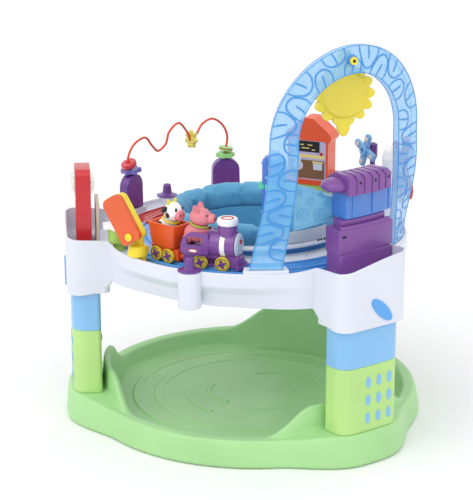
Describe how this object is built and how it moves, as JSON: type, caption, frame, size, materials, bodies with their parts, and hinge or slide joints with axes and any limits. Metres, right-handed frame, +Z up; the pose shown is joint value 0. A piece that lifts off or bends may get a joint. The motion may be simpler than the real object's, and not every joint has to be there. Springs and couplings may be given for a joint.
{
  "type": "activity jumper",
  "caption": "Three-legged activity table with a turning fabric seat, a round train track, a bowed toy arch, bead run, spinners and a tray base.",
  "frame": {"origin": "on the ground at the centre of the three legs, under the middle of the seat", "axes": "+Z up from the ground through the seat's turning axis; the left leg stands near -X, the front leg near +X and -Y, the back leg near +Y"},
  "size_m": [0.6628, 0.6542, 0.726],
  "materials": {
    "green_base": "satin",
    "lime_leg": "satin",
    "blue_leg": "satin",
    "white_top": "satin",
    "blue_button": "gloss",
    "blue_track": "gloss",
    "red_plastic": "gloss",
    "seat_plastic": "satin",
    "dark_blue": "satin",
    "seat_fabric": "woven",
    "arch_blue": "translucent",
    "sun_yellow": "satin",
    "cage_blue": "translucent",
    "purple": "satin",
    "key_yellow": "gloss",
    "clear_blue": "translucent",
    "pale_blue": "translucent",
    "white_trim": "gloss",
    "grey_face": "satin",
    "pink": "satin",
    "orange": "satin",
    "yellow": "satin",
    "wire_orange": "gloss",
    "lavender": "gloss",
    "bead_green": "gloss",
    "clear_drum": "clear",
    "cream": "satin",
    "lime_green": "satin",
    "picture": "printed",
    "sky_blue": "satin"
  },
  "bodies": {
    "base": {"base_tray": "green_base", "lower_leg_1": "lime_leg", "lower_leg_2": "lime_leg", "lower_leg_3": "lime_leg", "upper_leg_1": "blue_leg", "upper_leg_2": "blue_leg", "upper_leg_3": "blue_leg"},
    "table": {"table_top": "white_top", "track_blue": "blue_track", "track_red": "red_plastic", "arch": "arch_blue", "sun_bolt": "sun_yellow", "sound_box": "purple", "tunnel_wall": "clear_blue", "tunnel_roof": "purple", "light_panel": "pale_blue", "loco_body": "purple", "loco_chimney_cap": "white_trim", "loco_face": "grey_face", "pig": "pink", "wagon_body": "orange", "cow": "white_trim", "gate_post": "yellow", "bead_post_left": "purple", "bead_post_right": "purple", "bead_wire": "wire_orange", "peg_1": "purple", "peg_2": "purple", "rattle_frame": "red_plastic", "picture_plate": "cream", "star_post": "lime_green", "house_stand": "lime_green", "school_house": "orange", "house_picture": "picture", "propeller_stem": "purple", "mill_tower": "white_trim"},
    "seat": {"seat_ring": "seat_plastic", "seat_band": "dark_blue", "seat_cover": "seat_fabric"},
    "height_button_1_body": {"height_button_1": "blue_button"},
    "height_button_2_body": {"height_button_2": "blue_button"},
    "height_button_3_body": {"height_button_3": "blue_button"},
    "sound_key_body": {"sound_key": "key_yellow"},
    "sun_body": {"sun": "sun_yellow"},
    "arch_spinner_body": {"arch_spinner": "cage_blue"},
    "loco_wheels_1_body": {"loco_wheels_1": "key_yellow"},
    "loco_wheels_2_body": {"loco_wheels_2": "key_yellow"},
    "wagon_wheels_1_body": {"wagon_wheels_1": "key_yellow"},
    "wagon_wheels_2_body": {"wagon_wheels_2": "key_yellow"},
    "gate_arm_body": {"gate_arm": "orange"},
    "bead_star_lavender_body": {"bead_star_lavender": "lavender"},
    "bead_disc_red_body": {"bead_disc_red": "red_plastic"},
    "bead_star_yellow_body": {"bead_star_yellow": "yellow"},
    "bead_disc_green_body": {"bead_disc_green": "bead_green"},
    "bead_star_green_body": {"bead_star_green": "bead_green"},
    "rattle_drum_body": {"rattle_drum": "clear_drum"},
    "star_wheel_body": {"star_wheel": "white_trim"},
    "propeller_body": {"propeller": "sky_blue"},
    "mill_sails_body": {"mill_sails": "red_plastic"}
  },
  "joints": [
    {"name": "table_bounce", "type": "slide", "parent": "base", "child": "table", "axis": [0, 0, 1], "range_m": [-0.03, 0], "stiffness_N_per_m": 4000, "springref_m": 0.03},
    {"name": "seat_turn", "type": "hinge", "parent": "table", "child": "seat", "pos_m": [0, 0, 0.34], "axis": [0, 0, 1], "continuous": true},
    {"name": "height_button_1_press", "type": "slide", "parent": "table", "child": "height_button_1_body", "axis": [0.9934, 0.1149, 0], "range_m": [0, 0.002], "stiffness_N_per_m": 600},
    {"name": "height_button_2_press", "type": "slide", "parent": "table", "child": "height_button_2_body", "axis": [-0.5962, 0.8028, 0], "range_m": [0, 0.002], "stiffness_N_per_m": 600},
    {"name": "height_button_3_press", "type": "slide", "parent": "table", "child": "height_button_3_body", "axis": [-0.3971, -0.9178, 0], "range_m": [0, 0.002], "stiffness_N_per_m": 600},
    {"name": "sound_key_press", "type": "slide", "parent": "table", "child": "sound_key_body", "axis": [0.5962, -0.8028, 0], "range_m": [0, 0.003], "stiffness_N_per_m": 600},
    {"name": "sun_swing", "type": "hinge", "parent": "table", "child": "sun_body", "pos_m": [0.14809, -0.18887, 0.702], "axis": [0.2756, -0.9613, 0], "range_deg": [-25, 5]},
    {"name": "arch_spinner_turn", "type": "hinge", "parent": "table", "child": "arch_spinner_body", "pos_m": [0.03121, -0.23393, 0.485], "axis": [0, 0, 1], "continuous": true},
    {"name": "gate_swing", "type": "hinge", "parent": "table", "child": "gate_arm_body", "pos_m": [-0.2053, -0.17227, 0.385], "axis": [-0.5299, -0.848, 0], "range_deg": [-50, 12]},
    {"name": "rattle_drum_turn", "type": "hinge", "parent": "table", "child": "rattle_drum_body", "pos_m": [-0.31092, -0.03598, 0.443], "axis": [0.1149, -0.9934, 0], "continuous": true},
    {"name": "star_wheel_turn", "type": "hinge", "parent": "table", "child": "star_wheel_body", "pos_m": [-0.24647, -0.09461, 0.378], "axis": [0, 0, 1], "continuous": true},
    {"name": "propeller_turn", "type": "hinge", "parent": "table", "child": "propeller_body", "pos_m": [0.2256, 0.13025, 0.463], "axis": [0.866, 0.5, 0], "continuous": true},
    {"name": "mill_sails_turn", "type": "hinge", "parent": "table", "child": "mill_sails_body", "pos_m": [0.27419, 0.04588, 0.444], "axis": [0.9863, 0.165, 0], "continuous": true},
    {"name": "loco_axle_1_turn", "type": "hinge", "parent": "table", "child": "loco_wheels_1_body", "pos_m": [-0.0893, -0.20405, 0.3487], "axis": [0.3256, 0.9455, 0], "continuous": true},
    {"name": "loco_axle_2_turn", "type": "hinge", "parent": "table", "child": "loco_wheels_2_body", "pos_m": [-0.05148, -0.21707, 0.3487], "axis": [0.3256, 0.9455, 0], "continuous": true},
    {"name": "wagon_axle_1_turn", "type": "hinge", "parent": "table", "child": "wagon_wheels_1_body", "pos_m": [-0.1603, -0.15422, 0.3487], "axis": [0.6756, 0.7373, 0], "continuous": true},
    {"name": "wagon_axle_2_turn", "type": "hinge", "parent": "table", "child": "wagon_wheels_2_body", "pos_m": [-0.13966, -0.17314, 0.3487], "axis": [0.6756, 0.7373, 0], "continuous": true},
    {"name": "bead_star_lavender_turn", "type": "hinge", "parent": "table", "child": "bead_star_lavender_body", "pos_m": [-0.23289, 0.13247, 0.42089], "axis": [-0.1012, -0.0737, 0.9921], "continuous": true},
    {"name": "bead_disc_red_turn", "type": "hinge", "parent": "table", "child": "bead_disc_red_body", "pos_m": [-0.23681, 0.12962, 0.43355], "axis": [-0.3305, -0.2405, 0.9127], "continuous": true},
    {"name": "bead_star_yellow_turn", "type": "hinge", "parent": "table", "child": "bead_star_yellow_body", "pos_m": [-0.12015, 0.21454, 0.46195], "axis": [0.8068, 0.5872, -0.0656], "continuous": true},
    {"name": "bead_disc_green_turn", "type": "hinge", "parent": "table", "child": "bead_disc_green_body", "pos_m": [-0.05366, 0.26293, 0.43182], "axis": [-0.1582, -0.1151, -0.9807], "continuous": true},
    {"name": "bead_star_green_turn", "type": "hinge", "parent": "table", "child": "bead_star_green_body", "pos_m": [-0.05456, 0.26228, 0.41958], "axis": [-0.0101, -0.0073, -0.9999], "continuous": true}
  ]
}
